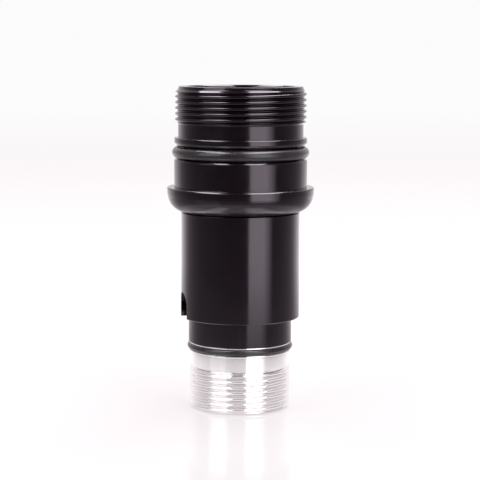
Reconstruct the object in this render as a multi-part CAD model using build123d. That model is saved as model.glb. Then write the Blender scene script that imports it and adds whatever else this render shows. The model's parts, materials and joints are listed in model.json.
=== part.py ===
from build123d import *
import math
import os

# A laser collimator core for a 1.25 in telescope focuser.
# Millimetres. The origin is the centre of the nose's end face, and +Z runs up the
# axis to the rear thread, where the battery housing screws on.

# Outside: head, from the rear face down to the flange's rounded underside
total_height = 86.1
rear_face_radius = 16.5
rear_rim_radius = 16.7
rear_rim_low = 85.45
rear_thread_major = 17.5
rear_thread_low = 76.2
rear_relief_radius = 16.7
thread_pitch = 1.5
thread_depth = 0.75
thread_crest = 0.36
thread_sink = 0.2
thread_lead = 0.6
rear_thread_high_lead = 0.55
ledge_radius = 17.68
ledge_high = 72.6
ledge_low = 71.2
ledge_edge = 0.2
groove_edge_radius = 17.2
upper_groove_high = 70.4
upper_groove_low = 66.8
upper_groove_floor = 15.0
land_radius = 17.75
land_edge = 0.25
flange_radius = 19.65
flange_high = 59.4
flange_low = 57.81
flange_edge = 0.3
flange_arc_radius = 5.08

# Outside: barrel sleeve, neck and nose
barrel_radius = 31.75 / 2
sleeve_low = 24.5
sleeve_bore = 13.85
sleeve_top_edge = 0.3
sleeve_low_edge = 0.2
notch_radius = 3.35
notch_high = 31.4
notch_angle = 194.8
neck_radius = 13.8
neck_low = 17.95
nose_upper_lip_radius = 13.67
nose_lower_lip_radius = 13.6
nose_lower_lip_low = 15.33
nose_undercut_low = 15.03
nose_undercut_floor = 12.35
lower_groove_floor = 12.3
lower_groove_high = 17.62
lower_groove_low = 15.8
nose_relief_radius = 12.95
nose_thread_major = 13.5
nose_thread_high = 11.4
nose_face_radius = 12.3
nose_edge_height = 0.3
nose_thread_turn = 132

# Rubber rings, each a plain torus
upper_cord = 3.2
upper_ring_mean = 16.67
upper_ring_height = 68.6
lower_cord = 1.8
lower_ring_mean = 13.25
lower_ring_height = 16.71

# Bores of the head and the core tube
contact_bore = 14.2
contact_shelf = 74.0
screw_chamber_bore = 12.5
core_tube_high = 58.0
core_tube_socket = 13.83
core_tube_bore = 12.0
spigot_radius = 12.55
spigot_high = 21.5
spigot_socket = 12.6
bore_edge = 0.4

# Nose optics, stacked up from the window's retaining ring to the aperture disc
nose_recess = 10.9
nose_ledge_low = 10.0
nose_ledge_high = 11.0
nose_ledge_bore = 8.0
nose_upper_bore = 9.5
optics_radius = 10.85
window_ring_low = 5.1
window_low = 7.1
gasket_low = 9.1
aperture_low = 9.5
window_ring_bore = 8.5
gasket_bore = 9.0
aperture_radius = 2.0
spanner_slot_width = 1.6
spanner_slot_depth = 1.0

# Gimbal: a ring between the core tube and the laser module
gimbal_height = 36.0
gimbal_outer = 11.6
gimbal_inner = 10.45
gimbal_width = 5.0
pin_radius = 0.75
pin_seat_radius = 0.77
pin_bearing_radius = 0.79
outer_pin_span = (10.6, 13.75)
inner_pin_span = (8.1, 11.3)
tube_wall_span = (11, 15)
gimbal_wall_span = (9, 13)
module_wall_span = (7, 11)

# Alignment screws: four M3 set screws hidden under the upper rubber ring
screw_radius = 1.5
screw_hole_radius = 1.53
screw_length = 4.0
screw_tip = 10.05
screw_tip_radius = 0.75
screw_socket_across = 1.5
screw_socket_depth = 2.0
screw_height = upper_ring_height
head_wall_span = (11, 16)

# Laser module: the housing and what it carries
module_radius = 10.0
module_low = 22.5
module_high = 70.5
module_bore = 8.0
module_neck_bore = 7.2
module_shoulder = 54.0
board_shelf = 64.4
module_edge = 0.4
module_fit_radius = 7.95
diode_holder_low = 44.0
diode_flange_radius = 2.8
diode_flange_low = 49.5
diode_flange_high = 50.7
diode_flange_seat = 2.85
diode_cap_radius = 1.78
diode_cap_low = 47.2
diode_cap_bore = 1.9
diode_ring_socket = 3.5
diode_ring_outer = 3.45
diode_ring_high = 52.5
lead_radius = 0.225
lead_circle = 1.0
lead_high = 57.5
lead_angles = (90, 210, 330)
wire_radius = 0.45
wire_circle = 4.2
driver_board_radius = 7.9
driver_board_high = 66.0
driver_ring_inner = 7.0
driver_ring_high = 67.5

# Focus: a screwed lens cell pushed down by a spring
lens_cell_low = 24.0
lens_cell_high = 31.0
lens_radius = 6.0
lens_low = 25.8
lens_edge_high = 27.2
lens_top = 28.8
lens_seat_bore = 5.2
lens_ring_high = 29.2
lens_ring_inner = 5.2
lens_ring_outer = 6.0
lens_socket = 6.05
focus_spring_mean = 6.9
focus_spring_wire = 0.45
focus_spring_turns = 6

# Battery contact: a sprung plunger in a flanged sleeve through a round board
contact_board_radius = 14.1
contact_board_high = 75.6
contact_ring_inner = 10.5
contact_ring_high = 77.6
contact_sleeve_radius = 3.0
contact_sleeve_hole = 3.03
contact_sleeve_low = 70.5
contact_sleeve_high = 79.5
contact_sleeve_flange = 4.5
contact_sleeve_flange_high = 76.6
contact_sleeve_bore = 2.5
contact_sleeve_wall = 1.0
contact_sleeve_mouth = 1.75
plunger_radius = 1.7
plunger_shoulder = 2.45
plunger_low = 77.0
plunger_high = 82.0
contact_spring_mean = 1.9
contact_spring_wire = 0.2
contact_spring_turns = 7
feed_spring_mean = 2.0
feed_spring_wire = 0.25
feed_spring_turns = 5
feed_spring_gap = 0.1

LOW_CENTRE = (Align.CENTER, Align.CENTER, Align.MIN)
ALONG_X = (0, 180)
ALONG_Y = (90, 270)
QUARTERS = (0, 90, 180, 270)


def turned(points):
    """Solid turned about Z from a closed outline of (radius, height) points."""
    outline = Polyline(*[(radius, 0, height) for radius, height in points], close=True)
    return revolve(make_face(outline), Axis.Z)


def disc(radius, low, high):
    """Plain round disc or rod about Z."""
    return Pos(0, 0, low) * Cylinder(radius, high - low, align=LOW_CENTRE)


def ring(outer, inner, low, high):
    """Plain turned ring about Z."""
    return turned([(inner, low), (outer, low), (outer, high), (inner, high)])


def cross_rods(radius, span, angles, height):
    """Equal rods square to Z at several angles, each between two distances off the axis."""
    start, end = span
    rod = Pos(start, 0, height) * Rot(0, 90, 0) * Cylinder(radius, end - start, align=LOW_CENTRE)
    return [Rot(0, 0, angle) * rod for angle in angles]


def cross_slot(width, reach, low, high):
    """Block across the axis that cuts a spanner slot in both sides of a ring."""
    return Pos(0, 0, low) * Box(2 * reach, width, high - low, align=LOW_CENTRE)


def coil_spring(mean_radius, wire, turns, low, high):
    """Helical spring of round wire that just fits between two heights."""
    rise = high - low - 2 * wire
    path = Helix(pitch=rise / turns, height=rise, radius=mean_radius, center=(0, 0, low + wire))
    section = Plane(origin=path @ 0, z_dir=path % 0) * Circle(wire)
    return sweep(section, path=path, is_frenet=True)


def thread_ridge(major, low, high, high_lead=thread_lead):
    """Right-hand 60 degree ridge of a male thread, cut back to a cone at both ends."""
    minor = major - thread_depth
    clearance = 0.05
    half_crest = thread_crest / 2
    half_base = half_crest + (thread_depth + thread_sink) * math.tan(math.radians(30))
    overrun = 0.75 * thread_pitch  # starts and ends the sweep outside the envelope
    start = low - overrun
    path = Helix(
        pitch=thread_pitch, height=high - low + 2 * overrun, radius=minor, center=(0, 0, start)
    )
    profile = Polyline(
        (minor - thread_sink, 0, start - half_base),
        (major, 0, start - half_crest),
        (major, 0, start + half_crest),
        (minor - thread_sink, 0, start + half_base),
        close=True,
    )
    ridge = sweep(make_face(profile), path=path, is_frenet=True)
    clear = major + clearance
    foot = minor - thread_sink / 2
    inside = minor - thread_depth
    envelope = turned([
        (inside, low),
        (foot, low),
        (clear, low + thread_lead),
        (clear, high - high_lead),
        (foot, high),
        (inside, high),
    ])
    return ridge & envelope


def flange_underside():
    """Ring with a rounded outside, from the flange's rim down to the barrel sleeve."""
    arc_centre = flange_radius - flange_arc_radius
    drop = math.sqrt(flange_arc_radius**2 - (barrel_radius - arc_centre) ** 2)
    seat = flange_low - drop
    middle_angle = math.asin(drop / flange_arc_radius) / 2
    middle = (
        arc_centre + flange_arc_radius * math.cos(middle_angle),
        0,
        flange_low - flange_arc_radius * math.sin(middle_angle),
    )
    rim = (flange_radius, 0, flange_low)
    foot = (barrel_radius, 0, seat)
    outline = [
        ThreePointArc(rim, middle, foot),
        Polyline(foot, (core_tube_socket, 0, seat), (core_tube_socket, 0, flange_low), rim),
    ]
    return revolve(make_face(outline), Axis.Z), seat


def head_body():
    """Black head: rear thread, upper ring groove, land, flange and the upper bores."""
    minor = rear_thread_major - thread_depth
    thread_high = rear_rim_low - (minor - rear_rim_radius)
    outside = turned([
        (0, flange_low),
        (flange_radius, flange_low),
        (flange_radius, flange_high - flange_edge),
        (flange_radius - flange_edge, flange_high),
        (land_radius, flange_high),
        (land_radius, upper_groove_low - land_edge),
        (land_radius - land_edge, upper_groove_low),
        (upper_groove_floor, upper_groove_low),
        (upper_groove_floor, upper_groove_high),
        (groove_edge_radius, upper_groove_high),
        (ledge_radius, ledge_low),
        (ledge_radius, ledge_high - ledge_edge),
        (ledge_radius - ledge_edge, ledge_high),
        (rear_relief_radius, ledge_high),
        (rear_relief_radius, rear_thread_low),
        (minor, rear_thread_low),
        (minor, thread_high),
        (rear_rim_radius, rear_rim_low),
        (rear_face_radius, total_height),
        (0, total_height),
    ])
    chamber = turned([
        (0, core_tube_high),
        (screw_chamber_bore, core_tube_high),
        (screw_chamber_bore, contact_shelf),
        (contact_bore, contact_shelf),
        (contact_bore, total_height - bore_edge),
        (contact_bore + bore_edge, total_height),
        (0, total_height),
    ])
    thread = thread_ridge(
        rear_thread_major, rear_thread_low, thread_high + thread_sink / 2, rear_thread_high_lead
    )
    body = outside + thread
    body -= chamber
    body -= disc(core_tube_socket, flange_low, core_tube_high)
    underside, _ = flange_underside()
    body += underside
    for hole in cross_rods(screw_hole_radius, head_wall_span, QUARTERS, screw_height):
        body -= hole
    return body


def barrel_sleeve():
    """1.25 in barrel sleeve, clamped under the flange, with an index notch at its lower edge."""
    _, seat = flange_underside()
    sleeve = turned([
        (sleeve_bore, sleeve_low),
        (barrel_radius - sleeve_low_edge, sleeve_low),
        (barrel_radius, sleeve_low + sleeve_low_edge),
        (barrel_radius, seat - sleeve_top_edge),
        (barrel_radius - sleeve_top_edge, seat),
        (sleeve_bore, seat),
    ])
    turn = math.radians(notch_angle)
    outward = (math.cos(turn), math.sin(turn), 0)
    across = (-math.sin(turn), math.cos(turn), 0)
    centre_height = notch_high - notch_radius
    depth = centre_height - sleeve_low + 1
    plane = Plane(origin=(0, 0, centre_height), x_dir=across, z_dir=outward)
    outline = Circle(notch_radius) + Pos(0, -depth / 2) * Rectangle(2 * notch_radius, depth)
    return sleeve - extrude(plane * outline, amount=barrel_radius + 1)


def core_tube():
    """Tube that joins head, sleeve and nose, and carries the gimbal's outer pins."""
    tube = turned([
        (spigot_socket, neck_low),
        (neck_radius, neck_low),
        (neck_radius, core_tube_high),
        (core_tube_bore, core_tube_high),
        (core_tube_bore, spigot_high),
        (spigot_socket, spigot_high),
    ])
    for hole in cross_rods(pin_seat_radius, tube_wall_span, ALONG_X, gimbal_height):
        tube -= hole
    return tube


def nose_piece():
    """Bare metal nose: spigot, lower ring groove, relief and nose thread."""
    minor = nose_thread_major - thread_depth
    nose = turned([
        (nose_recess, 0),
        (nose_face_radius, 0),
        (minor, nose_edge_height),
        (minor, nose_thread_high),
        (nose_relief_radius, nose_thread_high),
        (nose_relief_radius, nose_undercut_low),
        (nose_undercut_floor, nose_undercut_low),
        (nose_undercut_floor, nose_lower_lip_low),
        (nose_lower_lip_radius, nose_lower_lip_low),
        (nose_lower_lip_radius, lower_groove_low),
        (lower_groove_floor, lower_groove_low),
        (lower_groove_floor, lower_groove_high),
        (nose_upper_lip_radius, lower_groove_high),
        (nose_upper_lip_radius, neck_low),
        (spigot_radius, neck_low),
        (spigot_radius, spigot_high),
        (nose_upper_bore, spigot_high),
        (nose_upper_bore, nose_ledge_high),
        (nose_ledge_bore, nose_ledge_high),
        (nose_ledge_bore, nose_ledge_low),
        (nose_recess, nose_ledge_low),
    ])
    thread = thread_ridge(nose_thread_major, nose_edge_height, nose_thread_high)
    return nose + Rot(0, 0, nose_thread_turn) * thread


def rubber_ring(mean_radius, cord, height):
    """Moulded rubber ring of round cord."""
    return Pos(0, 0, height) * Torus(mean_radius, cord / 2)


def window_retaining_ring():
    """Threaded ring that holds the exit window, slotted for a spanner."""
    slot = cross_slot(
        spanner_slot_width, optics_radius + 1, window_ring_low, window_ring_low + spanner_slot_depth
    )
    return ring(optics_radius, window_ring_bore, window_ring_low, window_low) - slot


def aperture_disc():
    """Thin disc with the small hole the beam leaves by."""
    return ring(optics_radius, aperture_radius, aperture_low, nose_ledge_low)


def gimbal_ring():
    """Ring that tips about X on the tube's pins and carries the module's pins along Y."""
    low = gimbal_height - gimbal_width / 2
    body = ring(gimbal_outer, gimbal_inner, low, low + gimbal_width)
    for hole in cross_rods(pin_bearing_radius, gimbal_wall_span, QUARTERS, gimbal_height):
        body -= hole
    return body


def alignment_screw(angle):
    """M3 set screw with a flat tip and a hexagon socket, square to the axis."""
    taper = screw_radius - screw_tip_radius
    outline = turned([
        (0, 0),
        (screw_tip_radius, 0),
        (screw_radius, taper),
        (screw_radius, screw_length),
        (0, screw_length),
    ])
    hexagon = RegularPolygon(screw_socket_across / 2, 6, major_radius=False)
    socket_low = screw_length - screw_socket_depth
    screw = outline - Pos(0, 0, socket_low) * extrude(hexagon, amount=screw_socket_depth)
    return Pos(0, 0, screw_height) * Rot(0, 0, angle) * Pos(screw_tip, 0, 0) * Rot(0, 90, 0) * screw


def module_housing():
    """Tube of the laser module, with a shoulder for the diode holder and a shelf for the board."""
    housing = turned([
        (module_bore, module_low),
        (module_radius - module_edge, module_low),
        (module_radius, module_low + module_edge),
        (module_radius, module_high - module_edge),
        (module_radius - module_edge, module_high),
        (module_bore, module_high),
        (module_bore, board_shelf),
        (module_neck_bore, board_shelf),
        (module_neck_bore, module_shoulder),
        (module_bore, module_shoulder),
    ])
    for hole in cross_rods(pin_seat_radius, module_wall_span, ALONG_Y, gimbal_height):
        housing -= hole
    return housing


def diode_holder():
    """Metal plug that holds the laser diode on the axis and carries its heat away."""
    return turned([
        (diode_cap_bore, diode_holder_low),
        (module_fit_radius, diode_holder_low),
        (module_fit_radius, module_shoulder),
        (diode_ring_socket, module_shoulder),
        (diode_ring_socket, diode_flange_high),
        (diode_flange_seat, diode_flange_high),
        (diode_flange_seat, diode_flange_low),
        (diode_cap_bore, diode_flange_low),
    ])


def laser_diode():
    """5.6 mm laser diode: flange, cap and three leads."""
    diode = disc(diode_flange_radius, diode_flange_low, diode_flange_high)
    diode += disc(diode_cap_radius, diode_cap_low, diode_flange_low)
    for angle in lead_angles:
        lead = disc(lead_radius, diode_flange_high, lead_high)
        diode += Rot(0, 0, angle) * Pos(lead_circle, 0, 0) * lead
    return diode


def diode_retaining_ring():
    """Small threaded ring that clamps the diode's flange."""
    slot_low = diode_ring_high - spanner_slot_depth
    slot = cross_slot(spanner_slot_depth, diode_ring_outer + 1, slot_low, diode_ring_high)
    body = ring(diode_ring_outer, diode_cap_bore, diode_flange_high, diode_ring_high)
    return body - slot


def diode_wires():
    """Three insulated wires from the diode's leads to the driver board."""
    up = (0, 0, 1)
    wires = []
    for angle in lead_angles:
        start = (lead_circle, 0, lead_high)
        end = (wire_circle, 0, board_shelf)
        path = Spline(start, end, tangents=(up, up))
        wire = sweep(Pos(*start) * Circle(wire_radius), path=path)
        wires.append(Rot(0, 0, angle) * wire)
    return Compound(wires)


def driver_board():
    """Round circuit board on the housing's shelf."""
    return disc(driver_board_radius, board_shelf, driver_board_high)


def driver_chip():
    """Regulator chip with four leads down each side."""
    length, width, height, stand_off = 4.9, 2.4, 1.3, 0.1
    lead_count, lead_pitch, lead_width, lead_reach = 4, 1.27, 0.4, 0.35
    off_axis = -4.6
    chip = Pos(0, 0, stand_off) * Box(width, length, height, align=LOW_CENTRE)
    for row in range(lead_count):
        place = (row - (lead_count - 1) / 2) * lead_pitch
        lead = Box(width + 2 * lead_reach, lead_width, height / 2, align=LOW_CENTRE)
        chip += Pos(0, place, 0) * lead
    return Pos(off_axis, 0, driver_board_high) * chip


def current_trimmer():
    """Square trimmer with a slotted round rotor, which sets the laser's current."""
    side, height, rotor_radius, rotor_height = 3.0, 1.0, 1.1, 0.35
    slot_width, slot_depth = 0.4, 0.25
    off_axis = 4.5
    trimmer = Box(side, side, height, align=LOW_CENTRE)
    trimmer += disc(rotor_radius, height, height + rotor_height)
    slot_low = height + rotor_height - slot_depth
    trimmer -= cross_slot(slot_width, rotor_radius, slot_low, slot_low + slot_depth)
    return Pos(off_axis, 0, driver_board_high) * trimmer


def driver_capacitors():
    """Two small block capacitors, one at each side of the board."""
    length, width, height = 2.0, 1.25, 0.9
    off_axis = 4.8
    block = Box(length, width, height, align=LOW_CENTRE)
    return Compound([Pos(0, place, driver_board_high) * block for place in (-off_axis, off_axis)])


def lens_cell():
    """Screwed cell that carries the collimating lens, slotted for focusing with a spanner."""
    body = turned([
        (lens_seat_bore, lens_cell_low),
        (module_fit_radius, lens_cell_low),
        (module_fit_radius, lens_cell_high),
        (lens_socket, lens_cell_high),
        (lens_socket, lens_low),
        (lens_seat_bore, lens_low),
    ])
    slot_high = lens_cell_low + spanner_slot_depth
    return body - cross_slot(spanner_slot_width, module_bore, lens_cell_low, slot_high)


def collimating_lens():
    """Glass lens, flat below and domed above, with a flat rim for its ring to press on."""
    rise = lens_top - lens_edge_high
    dome = (lens_ring_inner**2 + rise**2) / (2 * rise)
    half = lens_ring_inner / 2
    half_height = lens_top - dome + math.sqrt(dome**2 - half**2)
    rim = (lens_ring_inner, 0, lens_edge_high)
    top = (0, 0, lens_top)
    outline = [
        ThreePointArc(rim, (half, 0, half_height), top),
        Polyline(
            top, (0, 0, lens_low), (lens_radius, 0, lens_low), (lens_radius, 0, lens_edge_high), rim
        ),
    ]
    return revolve(make_face(outline), Axis.Z)


def lens_retaining_ring():
    """Threaded ring that presses on the edge of the lens, slotted for a spanner."""
    slot_low = lens_ring_high - spanner_slot_depth
    slot = cross_slot(spanner_slot_width, lens_radius + 1, slot_low, lens_ring_high)
    return ring(lens_ring_outer, lens_ring_inner, lens_edge_high, lens_ring_high) - slot


def contact_board():
    """Round board across the head that carries the battery's spring contact."""
    return ring(contact_board_radius, contact_sleeve_hole, contact_shelf, contact_board_high)


def contact_board_ring():
    """Threaded ring that holds the contact board down, slotted for a spanner."""
    slot_low = contact_ring_high - spanner_slot_depth
    slot = cross_slot(spanner_slot_width, contact_bore, slot_low, contact_ring_high)
    body = ring(contact_board_radius, contact_ring_inner, contact_board_high, contact_ring_high)
    return body - slot


def contact_sleeve():
    """Flanged metal sleeve the plunger slides in."""
    mouth_low = contact_sleeve_high - contact_sleeve_wall
    return turned([
        (0, contact_sleeve_low),
        (contact_sleeve_radius, contact_sleeve_low),
        (contact_sleeve_radius, contact_board_high),
        (contact_sleeve_flange, contact_board_high),
        (contact_sleeve_flange, contact_sleeve_flange_high),
        (contact_sleeve_radius, contact_sleeve_flange_high),
        (contact_sleeve_radius, contact_sleeve_high),
        (contact_sleeve_mouth, contact_sleeve_high),
        (contact_sleeve_mouth, mouth_low),
        (contact_sleeve_bore, mouth_low),
        (contact_sleeve_bore, contact_sleeve_low + contact_sleeve_wall),
        (0, contact_sleeve_low + contact_sleeve_wall),
    ])


def contact_plunger():
    """Battery contact with a domed tip and a shoulder that stops in the sleeve's mouth."""
    shoulder_high = contact_sleeve_high - contact_sleeve_wall
    dome_low = plunger_high - plunger_radius / 2
    tip = disc(plunger_radius, shoulder_high, dome_low)
    dome = Pos(0, 0, dome_low) * scale(Sphere(plunger_radius), by=(1, 1, 0.5))
    return disc(plunger_shoulder, plunger_low, shoulder_high) + tip + dome


def contact_spring():
    """Spring that pushes the plunger towards the battery."""
    low = contact_sleeve_low + contact_sleeve_wall
    return coil_spring(
        contact_spring_mean, contact_spring_wire, contact_spring_turns, low, plunger_low
    )


def feed_spring():
    """Spring that carries the current from the contact sleeve to the driver board."""
    low = driver_board_high + feed_spring_gap
    return coil_spring(feed_spring_mean, feed_spring_wire, feed_spring_turns, low, contact_sleeve_low)


def focus_spring():
    """Spring that keeps the lens cell's thread free of play."""
    return coil_spring(
        focus_spring_mean, focus_spring_wire, focus_spring_turns, lens_cell_high, diode_holder_low
    )


def pins(span, angles):
    """A pair of gimbal pins on one line."""
    return Compound(cross_rods(pin_radius, span, angles, gimbal_height))


def main():
    pieces = {
        "head_body": head_body(),
        "barrel_sleeve": barrel_sleeve(),
        "core_tube": core_tube(),
        "nose_piece": nose_piece(),
        "upper_o_ring": rubber_ring(upper_ring_mean, upper_cord, upper_ring_height),
        "lower_o_ring": rubber_ring(lower_ring_mean, lower_cord, lower_ring_height),
        "window_retaining_ring": window_retaining_ring(),
        "exit_window": disc(optics_radius, window_low, gasket_low),
        "window_gasket": ring(optics_radius, gasket_bore, gasket_low, aperture_low),
        "aperture_disc": aperture_disc(),
        "gimbal_pins_outer": pins(outer_pin_span, ALONG_X),
        "gimbal_ring": gimbal_ring(),
        "gimbal_pins_inner": pins(inner_pin_span, ALONG_Y),
        "alignment_screw_px": alignment_screw(0),
        "alignment_screw_py": alignment_screw(90),
        "alignment_screw_nx": alignment_screw(180),
        "alignment_screw_ny": alignment_screw(270),
        "module_housing": module_housing(),
        "diode_holder": diode_holder(),
        "laser_diode": laser_diode(),
        "diode_retaining_ring": diode_retaining_ring(),
        "diode_wires": diode_wires(),
        "driver_board": driver_board(),
        "driver_board_ring": ring(
            module_fit_radius, driver_ring_inner, driver_board_high, driver_ring_high
        ),
        "driver_chip": driver_chip(),
        "current_trimmer": current_trimmer(),
        "driver_capacitors": driver_capacitors(),
        "focus_spring": focus_spring(),
        "lens_cell": lens_cell(),
        "collimating_lens": collimating_lens(),
        "lens_retaining_ring": lens_retaining_ring(),
        "contact_board": contact_board(),
        "contact_board_ring": contact_board_ring(),
        "contact_sleeve": contact_sleeve(),
        "contact_plunger": contact_plunger(),
        "contact_spring": contact_spring(),
        "feed_spring": feed_spring(),
    }
    os.makedirs("parts", exist_ok=True)
    for name, piece in pieces.items():
        export_step(piece, f"parts/{name}.step")


main()
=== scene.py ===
import json
import math
from functools import partial

import bpy
from mathutils import Matrix, Vector

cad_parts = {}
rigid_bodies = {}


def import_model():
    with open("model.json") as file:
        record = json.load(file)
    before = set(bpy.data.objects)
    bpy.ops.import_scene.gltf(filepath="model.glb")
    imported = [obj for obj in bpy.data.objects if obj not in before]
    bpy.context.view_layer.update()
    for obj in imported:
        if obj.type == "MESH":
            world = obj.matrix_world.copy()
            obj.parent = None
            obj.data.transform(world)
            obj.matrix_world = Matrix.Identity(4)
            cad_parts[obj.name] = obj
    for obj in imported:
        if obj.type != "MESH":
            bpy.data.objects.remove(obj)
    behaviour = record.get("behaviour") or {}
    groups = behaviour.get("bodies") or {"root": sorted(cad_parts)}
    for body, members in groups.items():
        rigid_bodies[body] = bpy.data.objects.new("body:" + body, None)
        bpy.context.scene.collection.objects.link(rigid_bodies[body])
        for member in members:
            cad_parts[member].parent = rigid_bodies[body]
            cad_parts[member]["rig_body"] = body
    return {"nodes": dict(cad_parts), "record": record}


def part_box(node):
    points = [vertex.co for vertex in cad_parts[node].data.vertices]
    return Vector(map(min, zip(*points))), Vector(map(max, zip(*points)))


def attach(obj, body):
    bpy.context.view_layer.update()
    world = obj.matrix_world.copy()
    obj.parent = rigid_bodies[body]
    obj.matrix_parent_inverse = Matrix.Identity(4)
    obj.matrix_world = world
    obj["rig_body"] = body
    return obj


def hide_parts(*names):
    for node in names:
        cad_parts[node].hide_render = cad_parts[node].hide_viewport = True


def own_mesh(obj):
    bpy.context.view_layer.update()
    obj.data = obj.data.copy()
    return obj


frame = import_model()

# The laser collimator core as it looks: turned metal pieces with softened edges and true
# threads, moulded rubber rings, and a small white studio. Outlines are (radius, height)
# points in millimetres, in the frame of the CAD model. Blender's own units are metres.

MM = 0.001
COLUMNS = 288
EDGE = 0.07

# Threads. The ridge runs out along a cone at each end, as long as its lead. The cones reach
# from just under the root to just over the crest.
PITCH = 1.5
FLANK_ANGLE = 30
THREAD_DEPTH = 0.75
CONE_UNDER_ROOT = 0.1
CONE_OVER_CREST = 0.05
REAR_THREAD = {
    "major": 17.5, "low": 76.2, "high": 85.39, "low_lead": 0.6, "high_lead": 0.9, "turn": 0,
    "crest": 0.1, "crown": 2.0,
}
NOSE_THREAD = {
    "major": 13.5, "low": 0.3, "high": 11.4, "low_lead": 0.6, "high_lead": 0.6, "turn": 132,
    "crest": 0.36, "crown": 20.0,
}

# Head, from the rear face down to the flange's rounded underside
HEAD_HIGH = 86.1
REAR_FACE_RADIUS = 16.5
REAR_RIM_RADIUS = 16.7
REAR_RIM_LOW = 85.45
REAR_RELIEF_RADIUS = 16.7
REAR_BORE = 14.2
REAR_BORE_EDGE = 0.4
CONTACT_SHELF = 74.0
SCREW_CHAMBER_BORE = 12.5
LEDGE_RADIUS = 17.68
LEDGE_HIGH = 72.6
LEDGE_LOW = 71.2
LEDGE_EDGE = 0.2
GROOVE_EDGE_RADIUS = 17.2
UPPER_GROOVE_HIGH = 70.4
UPPER_GROOVE_LOW = 66.8
UPPER_GROOVE_FLOOR = 15.0
LAND_RADIUS = 17.75
LAND_EDGE_WIDTH = 0.25
LAND_EDGE_HEIGHT = 0.4
FLANGE_RADIUS = 19.65
FLANGE_HIGH = 59.4
FLANGE_LOW = 57.81
FLANGE_EDGE = 0.3
FLANGE_ARC = 5.08
TUBE_SOCKET = 13.83
TUBE_HIGH = 58.0

SCREW_HOLE_RADIUS = 1.53
SCREW_HEIGHT = 68.6
SCREW_HOLE_SPAN = (11, 16)
SCREW_ANGLES = (0, 90, 180, 270)

# Barrel sleeve and neck
BARREL_RADIUS = 15.875
SLEEVE_LOW = 24.5
SLEEVE_LOW_EDGE = 0.2
SLEEVE_TOP_EDGE = 0.3
SLEEVE_BORE = 13.85
NOTCH_RADIUS = 3.35
NOTCH_HIGH = 31.4
NOTCH_ANGLE = 194.8
NOTCH_SPAN = (5, 18)
NOTCH_EDGE = 0.12
NECK_RADIUS = 13.8
NECK_LOW = 17.95
NECK_BORE = 12.0
SPIGOT_SOCKET = 12.6
SPIGOT_RADIUS = 12.55
SPIGOT_HIGH = 21.5
PIN_SEAT_RADIUS = 0.77
GIMBAL_HEIGHT = 36.0
PIN_SEAT_SPAN = (11, 15)
PIN_ANGLES = (0, 180)

# Nose
NOSE_EDGE = 0.05
NOSE_FACE_RADIUS = 12.3
NOSE_RECESS = 10.9
NOSE_RECESS_HIGH = 10.0
NOSE_STEP_BORE = 8.0
NOSE_STEP_HIGH = 11.0
NOSE_UPPER_BORE = 9.5
NOSE_RELIEF_RADIUS = 12.95
UNDERCUT_FLOOR = 12.35
UNDERCUT_LOW = 15.03
LOWER_LIP_RADIUS = 13.6
LOWER_LIP_LOW = 15.33
LOWER_GROOVE_FLOOR = 12.3
LOWER_GROOVE_LOW = 15.8
LOWER_GROOVE_HIGH = 17.62
UPPER_LIP_RADIUS = 13.67

# Rubber rings
UPPER_RING = {"mean": 16.67, "cord": 3.2, "height": 68.6}
LOWER_RING = {"mean": 13.25, "cord": 1.8, "height": 16.71}

# Springs, each coiled at a fixed length between a low and a high height. In the real mechanism they are
# pressed shorter when their joint moves.
FOCUS_SPRING = {"mean": 6.9, "wire_radius": 0.45, "turns": 6, "low": 31.0, "high": 44.0}
CONTACT_SPRING = {"mean": 1.9, "wire_radius": 0.2, "turns": 7, "low": 71.5, "high": 77.0}

# Camera. Place in metres and angles in degrees.
CAMERA_PLACE = (-0.00008, -0.4344, 0.0976)
CAMERA_PITCH = 6.9
CAMERA_LENS = 122.4
CAMERA_ROLL = 0.25

# Table. Each glow is a pair, near the object and far from it, and the distances after it say
# where it goes from one to the other. The fades say where the table gives way to the surround.
TABLE_SIDE = 6.0
TABLE_COLOUR = (0.15, 0.147, 0.148)
TABLE_TINT = (1.0, 0.935, 0.955)
TABLE_POLISH = 0.15
TABLE_ROUGHNESS = 0.1
SEEN_GLOW = (0.665, 0.87)
SEEN_GLOW_REACH = (0.1, 1.3)
SEEN_FADE_REACH = (0.2, 1.8)
MIRRORED_GLOW = (0.72, 0.05)
MIRRORED_GLOW_REACH = (0.075, 0.1)
MIRRORED_FADE_REACH = (0.06, 0.3)

# Surround. Room light is a list of (direction, brightness), from -1 in front of the object to
# 1 behind it. Above the horizon, a height on the unit sphere, the light is weaker.
BACKDROP_LIGHT = 0.97
ROOM_LIGHT = ((-1.0, 0.18), (-0.1, 0.32), (0.3, 0.5), (0.52, 0.75), (0.76, 1.6), (1.0, 1.7))
ROOM_TINT = (1.0, 0.94, 0.975)
HORIZON = (-0.075, -0.105)
ABOVE_HORIZON = 0.62

# Lights
SIDE_REACH = 0.7
CANOPY_HEIGHT = 0.66
CANOPY_DEPTH = (-0.42, 0.6)
CANOPY_RADIANCE = 12.0


# ---------------------------------------------------------------- meshes

def softened(points, radius=EDGE, steps=3):
    """The closed outline with each corner rounded into a small curve."""
    result = []
    for index, point in enumerate(points):
        here = Vector(point)
        to_before = Vector(points[index - 1]) - here
        to_after = Vector(points[(index + 1) % len(points)]) - here
        start = here + to_before.normalized() * min(radius, 0.4 * to_before.length)
        end = here + to_after.normalized() * min(radius, 0.4 * to_after.length)
        for step in range(steps + 1):
            t = step / steps
            place = (1 - t) ** 2 * start + 2 * t * (1 - t) * here + t**2 * end
            result.append((place.x, place.y))
    return result


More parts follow.
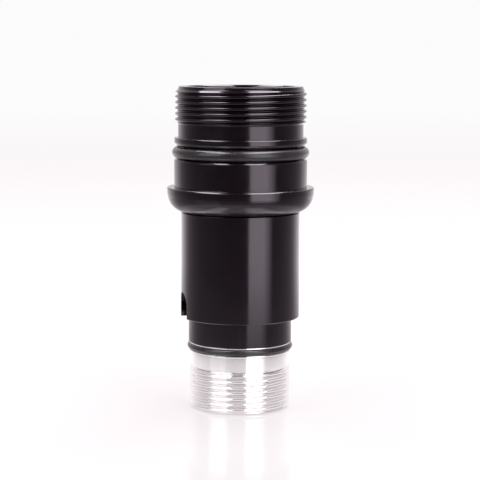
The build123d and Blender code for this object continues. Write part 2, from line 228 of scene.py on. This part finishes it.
def thread_radius(thread, height, angle):
    """Radius of a right-hand 60 degree male thread at a height and an angle. The crest's flat
    bends into the flanks along a parabola, whose sharpness is the crown."""
    minor = thread["major"] - THREAD_DEPTH
    start = thread["low"] - 0.75 * PITCH
    turns = (height - start) / PITCH - (math.degrees(angle) - thread["turn"]) / 360
    off_crest = max(0.0, abs(turns - round(turns)) * PITCH - thread["crest"] / 2)
    slope = 1 / math.tan(math.radians(FLANK_ANGLE))
    flank_start = slope / (2 * thread["crown"])
    flank = thread["crown"] * min(off_crest, flank_start) ** 2 + slope * max(0.0, off_crest - flank_start)
    foot = minor - CONE_UNDER_ROOT
    rise = thread["major"] + CONE_OVER_CREST - foot
    low_cone = foot + rise * (height - thread["low"]) / thread["low_lead"]
    high_cone = foot + rise * (thread["high"] - height) / thread["high_lead"]
    return max(minor, min(thread["major"] - flank, low_cone, high_cone))


def thread_rows(thread, low, high, rows_per_turn=24):
    """Outline rows up a thread, each with a radius that changes around the axis."""
    count = round((high - low) / PITCH * rows_per_turn)
    heights = [low + (high - low) * index / count for index in range(1, count)]
    return [(partial(thread_radius, thread, height), height) for height in heights]


def with_thread(rows, thread):
    """The outline with a thread's rows put into its straight stretch at the root radius."""
    minor = thread["major"] - THREAD_DEPTH
    for index in range(len(rows) - 1):
        (radius, low), (next_radius, high) = rows[index], rows[index + 1]
        straight = abs(radius - minor) < 1e-6 and abs(next_radius - minor) < 1e-6
        if straight and high - low > PITCH:
            return rows[: index + 1] + thread_rows(thread, low, high) + rows[index + 1:]
    raise ValueError("the outline has no straight stretch for the thread")


def mesh_object(name, vertices, faces):
    """A new object in the scene from points in metres and faces."""
    mesh = bpy.data.meshes.new(name)
    mesh.from_pydata(vertices, [], faces)
    made = bpy.data.objects.new(name, mesh)
    bpy.context.scene.collection.objects.link(made)
    return made


def lathe(name, rows, columns=COLUMNS):
    """Closed turned mesh about Z from outline rows in millimetres."""
    vertices = []
    for radius, height in rows:
        for column in range(columns):
            angle = 2 * math.pi * column / columns
            reach = radius(angle) if callable(radius) else radius
            vertices.append((reach * math.cos(angle) * MM, reach * math.sin(angle) * MM, height * MM))
    faces = []
    for row in range(len(rows)):
        below = row * columns
        above = (row + 1) % len(rows) * columns
        for column in range(columns):
            beside = (column + 1) % columns
            faces.append((below + column, below + beside, above + beside, above + column))
    piece = mesh_object(name, vertices, faces)
    piece.data.shade_smooth()
    return piece


def keep_flats_flat(piece):
    """Weights the normals by area, so that softened edges don't bend the wide faces' shading."""
    piece.modifiers.new("weighted_normals", "WEIGHTED_NORMAL")
    return piece


def stand_for(piece, node, slot, materials):
    """Puts a piece in the place of a CAD node, on the node's own body, with its slot's material."""
    piece.data.materials.clear()
    piece.data.materials.append(materials[slot])
    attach(piece, frame["nodes"][node]["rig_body"])
    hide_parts(node)


def head():
    """Head: bores, rear thread, ledge, ring groove, land and flange."""
    minor = REAR_THREAD["major"] - THREAD_DEPTH
    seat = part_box("head_body")[0].z / MM
    arc_centre = FLANGE_RADIUS - FLANGE_ARC
    end_angle = math.asin((FLANGE_LOW - seat) / FLANGE_ARC)
    arc_steps = 14
    underside = []
    for step in range(arc_steps, -1, -1):
        angle = end_angle * step / arc_steps
        radius = arc_centre + FLANGE_ARC * math.cos(angle)
        underside.append((radius, FLANGE_LOW - FLANGE_ARC * math.sin(angle)))
    corners = [(TUBE_SOCKET, seat)] + underside + [
        (FLANGE_RADIUS, FLANGE_HIGH - FLANGE_EDGE),
        (FLANGE_RADIUS - FLANGE_EDGE, FLANGE_HIGH),
        (LAND_RADIUS, FLANGE_HIGH),
        (LAND_RADIUS, UPPER_GROOVE_LOW - LAND_EDGE_HEIGHT),
        (LAND_RADIUS - LAND_EDGE_WIDTH, UPPER_GROOVE_LOW),
        (UPPER_GROOVE_FLOOR, UPPER_GROOVE_LOW),
        (UPPER_GROOVE_FLOOR, UPPER_GROOVE_HIGH),
        (GROOVE_EDGE_RADIUS, UPPER_GROOVE_HIGH),
        (LEDGE_RADIUS, LEDGE_LOW),
        (LEDGE_RADIUS, LEDGE_HIGH - LEDGE_EDGE),
        (LEDGE_RADIUS - LEDGE_EDGE, LEDGE_HIGH),
        (REAR_RELIEF_RADIUS, LEDGE_HIGH),
        (REAR_RELIEF_RADIUS, REAR_THREAD["low"]),
        (minor, REAR_THREAD["low"]),
        (minor, REAR_RIM_LOW - (minor - REAR_RIM_RADIUS)),
        (REAR_RIM_RADIUS, REAR_RIM_LOW),
        (REAR_FACE_RADIUS, HEAD_HIGH),
        (REAR_BORE + REAR_BORE_EDGE, HEAD_HIGH),
        (REAR_BORE, HEAD_HIGH - REAR_BORE_EDGE),
        (REAR_BORE, CONTACT_SHELF),
        (SCREW_CHAMBER_BORE, CONTACT_SHELF),
        (SCREW_CHAMBER_BORE, TUBE_HIGH),
        (TUBE_SOCKET, TUBE_HIGH),
    ]
    body = lathe("head", with_thread(softened(corners), REAR_THREAD))
    cut(body, round_profile(SCREW_HOLE_RADIUS, SCREW_HEIGHT), SCREW_HOLE_SPAN, SCREW_ANGLES)
    return keep_flats_flat(body)


def barrel_sleeve():
    """Barrel sleeve with the index notch cut through its lower edge."""
    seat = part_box("barrel_sleeve")[1].z / MM
    corners = [
        (SLEEVE_BORE, SLEEVE_LOW),
        (BARREL_RADIUS - SLEEVE_LOW_EDGE, SLEEVE_LOW),
        (BARREL_RADIUS, SLEEVE_LOW + SLEEVE_LOW_EDGE),
        (BARREL_RADIUS, seat - SLEEVE_TOP_EDGE),
        (BARREL_RADIUS - SLEEVE_TOP_EDGE, seat),
        (SLEEVE_BORE, seat),
    ]
    sleeve = lathe("sleeve", softened(corners))
    cut(sleeve, notch_profile(), NOTCH_SPAN, [NOTCH_ANGLE])
    edge = sleeve.modifiers.new("notch_edge", "BEVEL")
    edge.width = NOTCH_EDGE * MM
    edge.segments = 2
    edge.limit_method = "ANGLE"
    edge.angle_limit = math.radians(40)
    return keep_flats_flat(sleeve)


def notch_profile():
    """Outline of the sleeve's notch, open below and round on top."""
    centre_height = NOTCH_HIGH - NOTCH_RADIUS
    profile = [(-NOTCH_RADIUS, SLEEVE_LOW - 1), (NOTCH_RADIUS, SLEEVE_LOW - 1)]
    steps = 24
    for step in range(steps + 1):
        angle = math.pi * step / steps
        profile.append((NOTCH_RADIUS * math.cos(angle), centre_height + NOTCH_RADIUS * math.sin(angle)))
    return profile


def round_profile(radius, height, steps=32):
    """Outline of a round hole at a height."""
    angles = [2 * math.pi * step / steps for step in range(steps)]
    return [(radius * math.cos(angle), height + radius * math.sin(angle)) for angle in angles]


def cut(piece, profile, span, angles):
    """Cuts an (across, height) outline through a wall, outwards from the axis at each angle."""
    vertices = []
    faces = []
    count = len(profile)
    for angle in angles:
        turn = Matrix.Rotation(math.radians(angle), 3, "Z")
        inner = range(len(vertices), len(vertices) + count)
        for reach in span:
            vertices += [turn @ Vector((reach, across, height)) * MM for across, height in profile]
        faces.append(tuple(reversed(inner)))
        faces.append(tuple(index + count for index in inner))
        for index, here in enumerate(inner):
            beside = inner[(index + 1) % count]
            faces.append((here, beside, beside + count, here + count))
    cutter = mesh_object("cutter", vertices, faces)
    step = piece.modifiers.new("cut", "BOOLEAN")
    step.operation = "DIFFERENCE"
    step.solver = "EXACT"
    step.object = cutter
    evaluated = piece.evaluated_get(bpy.context.evaluated_depsgraph_get())
    result = bpy.data.meshes.new_from_object(evaluated)
    piece.modifiers.clear()
    piece.data = result
    result.shade_smooth()
    bpy.data.objects.remove(cutter)


def core_tube():
    """Neck tube, plain outside and stepped inside."""
    corners = [
        (SPIGOT_SOCKET, NECK_LOW),
        (NECK_RADIUS, NECK_LOW),
        (NECK_RADIUS, TUBE_HIGH),
        (NECK_BORE, TUBE_HIGH),
        (NECK_BORE, SPIGOT_HIGH),
        (SPIGOT_SOCKET, SPIGOT_HIGH),
    ]
    tube = lathe("neck_tube", softened(corners))
    cut(tube, round_profile(PIN_SEAT_RADIUS, GIMBAL_HEIGHT), PIN_SEAT_SPAN, PIN_ANGLES)
    return keep_flats_flat(tube)


def nose():
    """Bare nose: thread, relief, ring groove between two lips, spigot and bores."""
    minor = NOSE_THREAD["major"] - THREAD_DEPTH
    corners = [
        (NOSE_RECESS, 0.0),
        (NOSE_FACE_RADIUS, 0.0),
        (minor, NOSE_THREAD["low"]),
        (minor, NOSE_THREAD["high"]),
        (NOSE_RELIEF_RADIUS, NOSE_THREAD["high"]),
        (NOSE_RELIEF_RADIUS, UNDERCUT_LOW),
        (UNDERCUT_FLOOR, UNDERCUT_LOW),
        (UNDERCUT_FLOOR, LOWER_LIP_LOW),
        (LOWER_LIP_RADIUS, LOWER_LIP_LOW),
        (LOWER_LIP_RADIUS, LOWER_GROOVE_LOW),
        (LOWER_GROOVE_FLOOR, LOWER_GROOVE_LOW),
        (LOWER_GROOVE_FLOOR, LOWER_GROOVE_HIGH),
        (UPPER_LIP_RADIUS, LOWER_GROOVE_HIGH),
        (UPPER_LIP_RADIUS, NECK_LOW),
        (SPIGOT_RADIUS, NECK_LOW),
        (SPIGOT_RADIUS, SPIGOT_HIGH),
        (NOSE_UPPER_BORE, SPIGOT_HIGH),
        (NOSE_UPPER_BORE, NOSE_STEP_HIGH),
        (NOSE_STEP_BORE, NOSE_STEP_HIGH),
        (NOSE_STEP_BORE, NOSE_RECESS_HIGH),
        (NOSE_RECESS, NOSE_RECESS_HIGH),
    ]
    return keep_flats_flat(lathe("nose", with_thread(softened(corners, NOSE_EDGE), NOSE_THREAD)))


def rubber_ring(name, ring):
    """Moulded rubber ring, with the faint raised line its mould leaves around the outside."""
    steps = 64
    flash_width = 0.05
    flash_height = 0.025
    rows = []
    for step in range(steps):
        around = 2 * math.pi * step / steps
        off_line = math.sin(around)
        flash = flash_height * math.exp(-((off_line / flash_width) ** 2)) * (math.cos(around) > 0)
        reach = ring["cord"] / 2 + flash - flash_height
        rows.append((ring["mean"] + reach * math.cos(around), ring["height"] + reach * math.sin(around)))
    return lathe(name, rows)


def coil(name, spring, steps_per_turn=48, sides=12):
    """Spring of round wire that just fits between two heights."""
    wire = spring["wire_radius"]
    steps = spring["turns"] * steps_per_turn
    rise = spring["high"] - spring["low"] - 2 * wire
    vertices = []
    faces = []
    for step in range(steps + 1):
        turn = Matrix.Rotation(2 * math.pi * step / steps_per_turn, 3, "Z")
        height = spring["low"] + wire + rise * step / steps
        for side in range(sides):
            around = 2 * math.pi * side / sides
            reach = spring["mean"] + wire * math.cos(around)
            vertices.append(turn @ Vector((reach, 0, height + wire * math.sin(around))) * MM)
    for step in range(steps):
        here = step * sides
        for side in range(sides):
            beside = (side + 1) % sides
            faces.append((here + side, here + beside, here + sides + beside, here + sides + side))
    faces.append(tuple(reversed(range(sides))))
    faces.append(tuple(range(steps * sides, (steps + 1) * sides)))
    piece = mesh_object(name, vertices, faces)
    piece.data.shade_smooth()
    return piece


# ---------------------------------------------------------------- materials

class Shader:
    """A node material, or another owner's node tree, with short calls for the nodes used here."""

    def __init__(self, name, owner=None):
        self.material = owner or bpy.data.materials.new(name)
        self.material.use_nodes = True
        self.tree = self.material.node_tree
        self.surface = self.tree.nodes.get("Principled BSDF")

    def node(self, kind, **settings):
        """A new node, with properties set by keyword."""
        made = self.tree.nodes.new(kind)
        for key, value in settings.items():
            setattr(made, key, value)
        return made

    def link(self, source, target):
        """Joins an output socket to an input socket."""
        self.tree.links.new(source, target)

    def set(self, name, value):
        """Sets an input of the surface to a value, or joins a socket to it."""
        if isinstance(value, bpy.types.NodeSocket):
            self.link(value, self.surface.inputs[name])
        else:
            self.surface.inputs[name].default_value = value

    def math(self, operation, first, second=None):
        """A math node on sockets or numbers."""
        made = self.node("ShaderNodeMath", operation=operation)
        for index, value in enumerate((first, second)):
            if isinstance(value, bpy.types.NodeSocket):
                self.link(value, made.inputs[index])
            elif value is not None:
                made.inputs[index].default_value = value
        return made.outputs[0]

    def place(self):
        """Position on the piece, in metres."""
        return self.node("ShaderNodeTexCoord").outputs["Object"]

    def around_axis(self):
        """Position as (distance from the axis, 0, height), the same all round a turned piece."""
        parts = self.node("ShaderNodeSeparateXYZ")
        self.link(self.place(), parts.inputs[0])
        across = self.math("MULTIPLY", parts.outputs[0], parts.outputs[0])
        along = self.math("MULTIPLY", parts.outputs[1], parts.outputs[1])
        radius = self.math("SQRT", self.math("ADD", across, along))
        joined = self.node("ShaderNodeCombineXYZ")
        self.link(radius, joined.inputs[0])
        self.link(parts.outputs[2], joined.inputs[2])
        return joined.outputs[0]

    def noise(self, vector, scale, detail=4.0, roughness=0.6):
        """Noise from 0 to 1 with features of about one over scale metres."""
        made = self.node("ShaderNodeTexNoise")
        made.inputs["Scale"].default_value = scale
        made.inputs["Detail"].default_value = detail
        made.inputs["Roughness"].default_value = roughness
        self.link(vector, made.inputs["Vector"])
        return made.outputs["Fac"]

    def spread(self, value, low, high, from_low=0.3, from_high=0.7):
        """Maps a 0 to 1 value onto low to high."""
        made = self.node("ShaderNodeMapRange")
        made.inputs["From Min"].default_value = from_low
        made.inputs["From Max"].default_value = from_high
        made.inputs["To Min"].default_value = low
        made.inputs["To Max"].default_value = high
        self.link(value, made.inputs["Value"])
        return made.outputs[0]

    def mix(self, factor, first, second):
        """Blends two colours by a factor from 0 to 1."""
        made = self.node("ShaderNodeMix", data_type="RGBA")
        self.link(factor, made.inputs["Factor"])
        for socket, value in ((made.inputs["A"], first), (made.inputs["B"], second)):
            if isinstance(value, bpy.types.NodeSocket):
                self.link(value, socket)
            else:
                socket.default_value = value
        return made.outputs["Result"]

    def choose(self, switch, off, on):
        """A number that is off where the switch is 0 and on where it is 1."""
        made = self.node("ShaderNodeMix", data_type="FLOAT")
        self.link(switch, made.inputs["Factor"])
        for socket, value in ((made.inputs["A"], off), (made.inputs["B"], on)):
            if isinstance(value, bpy.types.NodeSocket):
                self.link(value, socket)
            else:
                socket.default_value = value
        return made.outputs["Result"]

    def layer(self, over, share):
        """Mixes another surface over all there is so far, by a share from 0 to 1."""
        output = self.tree.nodes["Material Output"]
        below = output.inputs["Surface"].links[0].from_socket
        made = self.node("ShaderNodeMixShader")
        if isinstance(share, bpy.types.NodeSocket):
            self.link(share, made.inputs[0])
        else:
            made.inputs[0].default_value = share
        self.link(below, made.inputs[1])
        self.link(over, made.inputs[2])
        self.link(made.outputs[0], output.inputs["Surface"])

    def worn_edges(self, low=0.53, high=0.62):
        """From 0 on plain faces to 1 in patches along the sharp outer edges."""
        sharpness = self.node("ShaderNodeNewGeometry").outputs["Pointiness"]
        patches = self.spread(self.noise(self.place(), 700), 0, 1, 0.4, 0.65)
        return self.math("MULTIPLY", self.spread(sharpness, 0, 1, low, high), patches)

    def bump(self, height, distance):
        """Bump from a height, where distance is the full depth in metres."""
        made = self.node("ShaderNodeBump")
        made.inputs["Strength"].default_value = 1.0
        made.inputs["Distance"].default_value = distance
        self.link(height, made.inputs["Height"])
        self.set("Normal", made.outputs[0])


def turned_metal(name, colour, second_colour, worn, roughness, groove, metallic=1.0):
    """Turned metal: fine tool lines around the axis, smudges, and edges rubbed to a third colour."""
    shader = Shader(name)
    lines = shader.noise(shader.around_axis(), 9000, 3.0, 0.7)
    smudge = shader.noise(shader.place(), 160, 5.0)
    tint = shader.mix(shader.spread(smudge, 0, 1), (*colour, 1), (*second_colour, 1))
    shader.set("Base Color", shader.mix(shader.worn_edges(), tint, (*worn, 1)))
    shader.set("Metallic", metallic)
    drift = shader.math("ADD", shader.spread(lines, -0.03, 0.03), shader.spread(smudge, -0.03, 0.05))
    shader.set("Roughness", shader.math("ADD", drift, roughness))
    shader.bump(lines, groove)
    return shader


def black_anodise():
    """Gloss black anodise over turned aluminium, rubbed greyer on its sharpest edges."""
    colour = (0.002, 0.0006, 0.0016)
    second_colour = (0.003, 0.0014, 0.0026)
    worn = (0.02, 0.018, 0.019)
    shader = turned_metal("black_anodise", colour, second_colour, worn, 0.13, 0.0000008, 0.0)
    shader.set("IOR", 1.5)
    shader.set("Specular Tint", (1.0, 0.88, 1.0, 1))
    return shader.material


def bare_aluminium():
    """Bare turned aluminium, bright with fine tool lines."""
    colour = (0.9, 0.88, 0.885)
    second_colour = (0.86, 0.84, 0.85)
    worn = (0.95, 0.93, 0.935)
    shader = turned_metal("bare_aluminium", colour, second_colour, worn, 0.16, 0.000001)
    tangent = shader.node("ShaderNodeTangent", direction_type="RADIAL", axis="Z")
    shader.set("Tangent", tangent.outputs[0])
    shader.set("Anisotropic", 0.6)
    shader.set("Anisotropic Rotation", 0.25)
    return shader.material


def black_rubber():
    """Satin moulded rubber with a fine grain and a little dust."""
    shader = Shader("black_rubber")
    grain = shader.noise(shader.place(), 6000, 3.0)
    bloom = shader.noise(shader.place(), 300, 4.0)
    dark, dusty = (0.009, 0.0065, 0.0085, 1), (0.018, 0.0135, 0.0165, 1)
    shader.set("Base Color", shader.mix(shader.spread(bloom, 0, 1), dark, dusty))
    shader.set("Roughness", shader.spread(bloom, 0.24, 0.33))
    shader.bump(grain, 0.000004)
    return shader.material


def simple_metal(name, colour, roughness=0.25):
    """Turned metal for an inner piece."""
    darker = tuple(0.8 * part for part in colour)
    brighter = tuple(min(1.0, 1.2 * part) for part in colour)
    return turned_metal(name, colour, darker, brighter, roughness, 0.000002).material


def plastic(name, colour, roughness=0.45):
    """Moulded plastic with a fine grain."""
    shader = Shader(name)
    grain = shader.noise(shader.place(), 5000, 3.0)
    cloud = shader.noise(shader.place(), 400, 3.0)
    darker = tuple(0.7 * part for part in colour)
    shader.set("Base Color", shader.mix(shader.spread(cloud, 0, 1), (*colour, 1), (*darker, 1)))
    shader.set("Roughness", shader.spread(cloud, roughness - 0.05, roughness + 0.08))
    shader.bump(grain, 0.000005)
    return shader.material


def coated_glass(name, tint):
    """Clear glass with the faint coloured sheen of a lens coating."""
    shader = Shader(name)
    smear = shader.noise(shader.place(), 300, 3.0)
    shader.set("Base Color", (*tint, 1))
    shader.set("Transmission Weight", 1.0)
    shader.set("IOR", 1.5)
    shader.set("Roughness", shader.spread(smear, 0.0, 0.03))
    shader.set("Coat Weight", 0.5)
    shader.set("Coat Tint", (0.7, 0.6, 1.0, 1))
    return shader.material


def make_materials():
    """One material for each of the record's slots."""
    return {
        "black_anodise": black_anodise(),
        "bare_aluminium": bare_aluminium(),
        "black_rubber": black_rubber(),
        "window_glass": coated_glass("window_glass", (0.96, 1.0, 0.99)),
        "lens_glass": coated_glass("lens_glass", (0.95, 0.97, 1.0)),
        "ground_steel": simple_metal("ground_steel", (0.6, 0.6, 0.61), 0.2),
        "blackened_steel": simple_metal("blackened_steel", (0.06, 0.06, 0.065), 0.3),
        "brass": simple_metal("brass", (0.8, 0.6, 0.28), 0.24),
        "copper": simple_metal("copper", (0.85, 0.45, 0.3), 0.28),
        "gold_plate": simple_metal("gold_plate", (0.95, 0.72, 0.32), 0.16),
        "wire_insulation": plastic("wire_insulation", (0.55, 0.04, 0.03)),
        "circuit_board": plastic("circuit_board", (0.02, 0.14, 0.06), 0.3),
        "chip_plastic": plastic("chip_plastic", (0.025, 0.025, 0.027), 0.5),
        "trimmer_plastic": plastic("trimmer_plastic", (0.04, 0.12, 0.42), 0.4),
        "capacitor_ceramic": plastic("capacitor_ceramic", (0.5, 0.36, 0.24), 0.5),
        "spring_steel": simple_metal("spring_steel", (0.55, 0.55, 0.56), 0.22),
    }


# ---------------------------------------------------------------- studio

def camera():
    """Camera a little above the object, looking slightly down."""
    data = bpy.data.cameras.new("camera")
    data.lens = CAMERA_LENS
    data.sensor_width = 36
    data.clip_start = 0.01
    eye = bpy.data.objects.new("camera", data)
    tilt = Matrix.Rotation(math.radians(90 - CAMERA_PITCH), 4, "X")
    roll = Matrix.Rotation(math.radians(CAMERA_ROLL), 4, "Z")
    eye.matrix_world = Matrix.Translation(CAMERA_PLACE) @ tilt @ roll
    bpy.context.scene.collection.objects.link(eye)
    bpy.context.scene.camera = eye


def panel(name, corner, across, up, radiance):
    """Rectangular light from one corner and two sides. It shines away from across x up."""
    across, up = Vector(across), Vector(up)
    data = bpy.data.lights.new(name, "AREA")
    data.shape = "RECTANGLE"
    data.size = across.length
    data.size_y = up.length
    data.energy = radiance * math.pi * across.length * up.length
    light = bpy.data.objects.new(name, data)
    back = across.cross(up).normalized()
    turn = Matrix((across.normalized(), up.normalized(), back)).transposed()
    light.matrix_world = Matrix.Translation(Vector(corner) + (across + up) / 2) @ turn.to_4x4()
    bpy.context.scene.collection.objects.link(light)
    return light


def fade_last_edge(light, share):
    """Lets a light fade away over the last share of its width."""
    shader = Shader(light.name, light.data)
    parts = shader.node("ShaderNodeSeparateXYZ")
    shader.link(shader.node("ShaderNodeNewGeometry").outputs["Parametric"], parts.inputs[0])
    strength = shader.spread(parts.outputs[0], 1, 0, 1 - share, 1)
    shader.link(strength, shader.tree.nodes["Emission"].inputs["Strength"])


def side_panel(name, azimuths, heights, radiance):
    """Upright light between two azimuths in degrees, from the camera round to the right."""
    low, high = heights
    ends = []
    for azimuth in azimuths:
        turn = math.radians(azimuth)
        ends.append(Vector((math.sin(turn) * SIDE_REACH, -math.cos(turn) * SIDE_REACH, low)))
    return panel(name, ends[0], ends[1] - ends[0], (0, 0, high - low), radiance)


def canopy(name, span):
    """Level light over the object, between two places across."""
    left, right = span
    front, back = CANOPY_DEPTH
    panel(name, (left, front, CANOPY_HEIGHT), (right - left, 0, 0), (0, back - front, 0), CANOPY_RADIANCE)


def floor():
    """White table top. It fades into the surround away from the object, and shines by itself,
    so that the object's shadow stays faint. What the object mirrors is bright only close by.
    From below it can't be seen."""
    half = TABLE_SIDE / 2
    corners = [(-half, -half, 0), (half, -half, 0), (half, half, 0), (-half, half, 0)]
    table = mesh_object("floor", corners, [(0, 1, 2, 3)])
    shader = Shader("white_table")
    shader.set("Base Color", (*TABLE_COLOUR, 1))
    shader.set("Roughness", 1.0)
    shader.set("Specular IOR Level", 0.0)
    length = shader.node("ShaderNodeVectorMath", operation="LENGTH")
    shader.link(shader.place(), length.inputs[0])
    reach = length.outputs["Value"]
    seen = shader.node("ShaderNodeLightPath").outputs["Is Camera Ray"]
    mirrored = shader.spread(reach, *MIRRORED_GLOW, *MIRRORED_GLOW_REACH)
    shader.set("Emission Color", (*TABLE_TINT, 1))
    direct = shader.spread(reach, *SEEN_GLOW, *SEEN_GLOW_REACH)
    shader.set("Emission Strength", shader.choose(seen, mirrored, direct))
    mirrored_fade = shader.spread(reach, 1, 0, *MIRRORED_FADE_REACH)
    direct_fade = shader.spread(reach, 1, 0, *SEEN_FADE_REACH)
    polish = shader.node("ShaderNodeBsdfGlossy")
    polish.inputs["Roughness"].default_value = TABLE_ROUGHNESS
    shader.layer(polish.outputs[0], TABLE_POLISH)
    clear = shader.node("ShaderNodeBsdfTransparent")
    faded = shader.math("SUBTRACT", 1.0, shader.choose(seen, mirrored_fade, direct_fade))
    from_below = shader.node("ShaderNodeNewGeometry").outputs["Backfacing"]
    shader.layer(clear.outputs[0], shader.math("MAXIMUM", faded, from_below))
    table.data.materials.append(shader.material)


def surround():
    """Room seen in the metal: white behind the object and darker in front of it and above the
    horizon. The camera sees plain white."""
    world = bpy.data.worlds.new("studio")
    world.use_nodes = True
    shader = Shader("room", world)
    background = shader.tree.nodes["Background"]
    parts = shader.node("ShaderNodeSeparateXYZ")
    shader.link(shader.node("ShaderNodeTexCoord").outputs["Generated"], parts.inputs[0])
    ramp = shader.node("ShaderNodeValToRGB")
    shader.link(shader.spread(parts.outputs[1], 0, 1, -1, 1), ramp.inputs[0])
    brightest = ROOM_LIGHT[-1][1]
    while len(ramp.color_ramp.elements) < len(ROOM_LIGHT):
        ramp.color_ramp.elements.new(0.5)
    for element, (away, light) in zip(ramp.color_ramp.elements, ROOM_LIGHT):
        element.position = (away + 1) / 2
        element.color = (light / brightest, light / brightest, light / brightest, 1)
    height = shader.spread(parts.outputs[2], brightest * ABOVE_HORIZON, brightest, *HORIZON)
    room = shader.math("MULTIPLY", ramp.outputs["Color"], height)
    seen = shader.node("ShaderNodeLightPath").outputs["Is Camera Ray"]
    shader.link(shader.choose(seen, room, BACKDROP_LIGHT), background.inputs["Strength"])
    tint = shader.mix(seen, (*ROOM_TINT, 1), (1, 1, 1, 1))
    shader.link(tint, background.inputs["Color"])
    bpy.context.scene.world = world


def studio():
    """Camera, table, surround and lights."""
    camera()
    floor()
    surround()
    right_panel = side_panel("right_panel", (16, 64), (-0.25, 0.5), 3.3)
    fade_last_edge(right_panel, 0.4)
    side_panel("left_panel", (-76, -34), (0.125, 0.7), 2.4)
    canopy("right_canopy", (0.08, 0.37))
    canopy("left_canopy", (-0.4, -0.195))
    bpy.context.scene.view_settings.view_transform = "Standard"


# ---------------------------------------------------------------- the object

def main():
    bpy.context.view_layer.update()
    materials = make_materials()
    for entry in frame["record"]["subparts"]:
        node = frame["nodes"][entry["node"]]
        node.data.materials.clear()
        node.data.materials.append(materials[entry["material_slot"]])
    stand_for(head(), "head_body", "black_anodise", materials)
    stand_for(barrel_sleeve(), "barrel_sleeve", "black_anodise", materials)
    stand_for(core_tube(), "core_tube", "black_anodise", materials)
    stand_for(nose(), "nose_piece", "bare_aluminium", materials)
    stand_for(rubber_ring("upper_ring", UPPER_RING), "upper_o_ring", "black_rubber", materials)
    stand_for(rubber_ring("lower_ring", LOWER_RING), "lower_o_ring", "black_rubber", materials)
    focus_spring = coil("focus_coil", FOCUS_SPRING)
    stand_for(focus_spring, "focus_spring", "spring_steel", materials)
    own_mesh(focus_spring)
    contact_spring = coil("contact_coil", CONTACT_SPRING)
    stand_for(contact_spring, "contact_spring", "spring_steel", materials)
    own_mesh(contact_spring)
    studio()


main()
